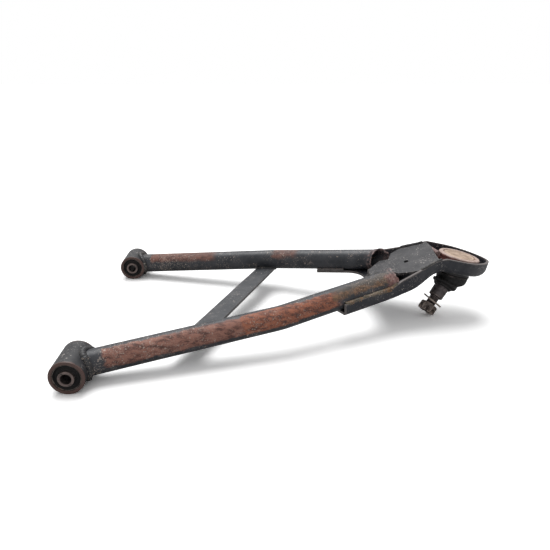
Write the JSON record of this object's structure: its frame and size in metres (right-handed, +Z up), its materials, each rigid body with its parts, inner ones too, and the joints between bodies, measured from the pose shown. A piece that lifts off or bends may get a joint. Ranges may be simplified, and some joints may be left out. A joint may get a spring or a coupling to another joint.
{
  "type": "control arm",
  "caption": "Tubular A-shaped suspension control arm with two rubber-bushed pivots, a slanted brace, a welded pan and a ball joint with dust boot, stud, washer and castle nut.",
  "frame": {"origin": "on the floor under the middle of the arm's overall box, with the arm lying on its two pivot barrels and its castle nut", "axes": "+X from the pivot axis towards the ball joint, +Y along the pivot axis from the front to the rear barrel, +Z up"},
  "size_m": [0.4708, 0.347, 0.0779],
  "materials": {
    "rusty_paint": "black paint worn through to brown rust",
    "black_paint": "satin black paint, chipped",
    "rusty_weld": "rusty weld bead",
    "bare_steel": "tarnished, light rust",
    "joint_steel": "dark oxidised steel",
    "cap_steel": "tan, dusty, lightly rusted",
    "rubber": "matte black rubber",
    "liner": "smooth acetal"
  },
  "bodies": {
    "arm": {"front_tube": "rusty_paint", "rear_tube": "rusty_paint", "front_pivot_barrel": "black_paint", "rear_pivot_barrel": "black_paint", "cross_brace": "black_paint", "ball_joint_pan": "black_paint", "gusset_plate": "black_paint", "barrel_welds": "black_paint", "brace_welds": "black_paint", "pan_welds": "rusty_weld", "gusset_welds": "black_paint", "front_bush_shell": "bare_steel", "rear_bush_shell": "bare_steel", "front_bush_rubber": "rubber", "rear_bush_rubber": "rubber", "ball_joint_housing": "joint_steel", "ball_joint_cap": "cap_steel", "preload_pad": "rubber", "boot_upper_ring": "bare_steel"},
    "front_inner_sleeve": {"front_sleeve": "bare_steel"},
    "rear_inner_sleeve": {"rear_sleeve": "bare_steel"},
    "seat": {"ball_seat": "liner", "dust_boot": "rubber"},
    "boot_collar": {"boot_lower_ring": "bare_steel"},
    "stud": {"ball_stud": "joint_steel"},
    "washer": {"stud_washer": "bare_steel"},
    "nut": {"castle_nut": "joint_steel"}
  },
  "joints": [
    {"name": "front_pivot", "type": "hinge", "parent": "arm", "child": "front_inner_sleeve", "pos_m": [-0.2197, -0.15, 0.0165], "axis": [0, 1, 0], "range_deg": [-25, 25], "stiffness_Nm_per_rad": 10},
    {"name": "rear_pivot", "type": "hinge", "parent": "arm", "child": "rear_inner_sleeve", "pos_m": [-0.2197, 0.15, 0.0165], "axis": [0, 1, 0], "range_deg": [-25, 25], "stiffness_Nm_per_rad": 10},
    {"name": "ball_swivel", "type": "hinge", "parent": "arm", "child": "seat", "pos_m": [0.19572, 0, 0.05422], "axis": [0.2095, 0, 0.9778], "continuous": true},
    {"name": "stud_tilt", "type": "hinge", "parent": "seat", "child": "boot_collar", "pos_m": [0.19572, 0, 0.05422], "axis": [-0.5411, 0.8329, 0.116], "range_deg": [-61, 0], "deforming": ["dust_boot"]},
    {"name": "stud_spin", "type": "hinge", "parent": "boot_collar", "child": "stud", "pos_m": [0.19572, 0, 0.05422], "axis": [-0.5939, -0.2809, -0.7539], "continuous": true},
    {"name": "washer_slide", "type": "slide", "parent": "stud", "child": "washer", "axis": [-0.5939, -0.2809, -0.7539], "range_m": [-0.003, 0.0011]},
    {"name": "nut_turn", "type": "hinge", "parent": "stud", "child": "nut", "pos_m": [0.16127, -0.01629, 0.0105], "axis": [-0.5939, -0.2809, -0.7539], "continuous": true}
  ]
}
